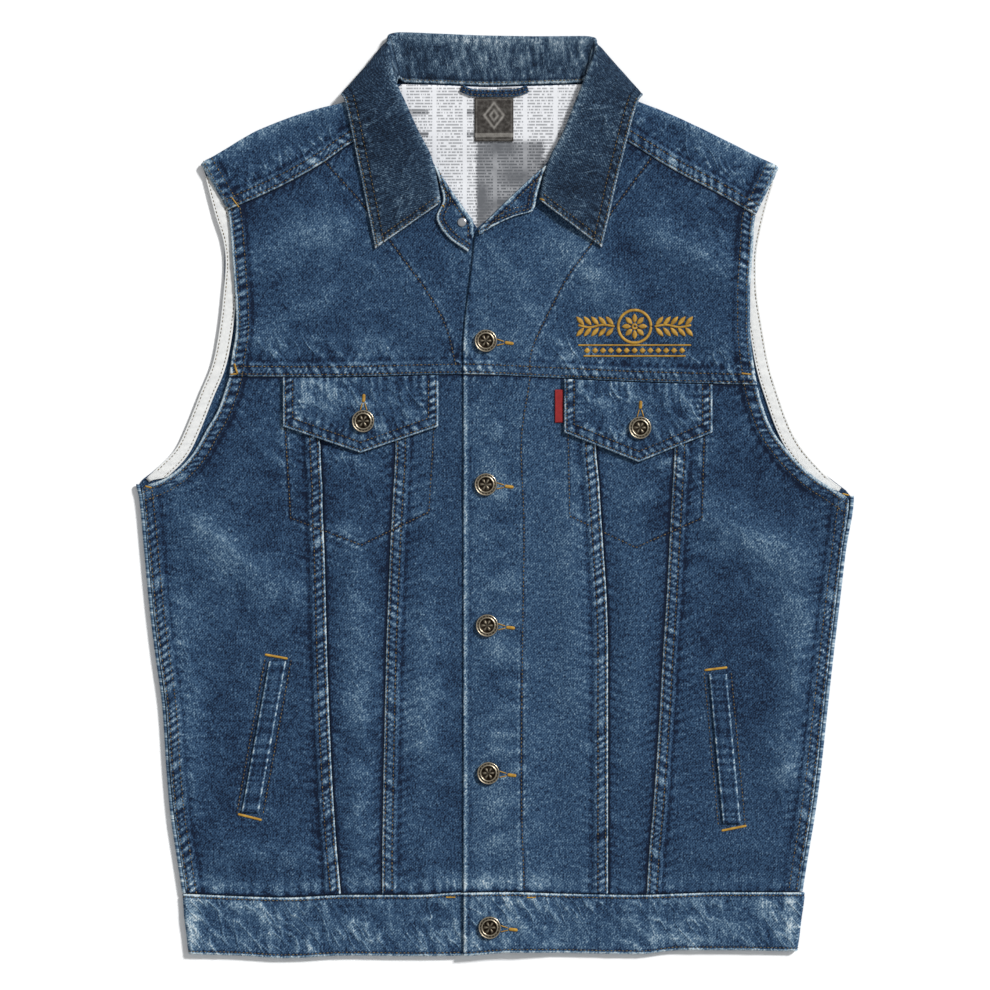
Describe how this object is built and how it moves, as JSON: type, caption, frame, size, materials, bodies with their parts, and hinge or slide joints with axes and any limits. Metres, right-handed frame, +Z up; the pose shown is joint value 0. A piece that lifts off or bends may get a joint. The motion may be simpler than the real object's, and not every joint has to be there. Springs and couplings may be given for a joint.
{
  "type": "denim vest",
  "caption": "Sleeveless trucker-cut denim vest, buttoned and laid flat on its back, with collar, chest flap pockets, side welt pockets and waistband.",
  "frame": {"origin": "centre of the vest's outline, on the surface that it lies on", "axes": "+Z up from the surface it lies on, +Y from the hem to the collar, +X towards the wearer's left side"},
  "size_m": [0.5459, 0.704, 0.0118],
  "materials": {
    "denim": "stonewashed mid-blue cotton twill",
    "collar_denim": "stonewashed dark-blue cotton twill",
    "lining": "matt white plain cotton",
    "label": "dark woven satin",
    "tab": "red woven tape",
    "button_metal": "antique brass, rubbed bright on its rings",
    "tack_metal": "bright nickel"
  },
  "bodies": {
    "root": {"back_centre": "denim", "back_side_right": "denim", "back_side_left": "denim", "back_yoke": "denim", "yoke_lining": "lining", "armhole_tape_right": "lining", "armhole_tape_left": "lining", "front_side_right": "denim", "front_middle_right": "denim", "front_centre_right": "denim", "front_centre_left": "denim", "front_middle_left": "denim", "front_side_left": "denim", "front_yoke_right": "denim", "front_yoke_left": "denim", "lapel_right": "denim", "lapel_left": "denim", "waistband": "denim", "collar": "collar_denim", "hanger_loop": "denim", "neck_label": "label", "flap_right": "denim", "flap_left": "denim", "welt_right": "denim", "welt_left": "denim", "side_tab": "tab", "button_1": "button_metal", "button_2": "button_metal", "button_3": "button_metal", "button_4": "button_metal", "button_band": "button_metal", "button_flap_right": "button_metal", "button_flap_left": "button_metal", "top_tack": "tack_metal"}
  },
  "joints": []
}
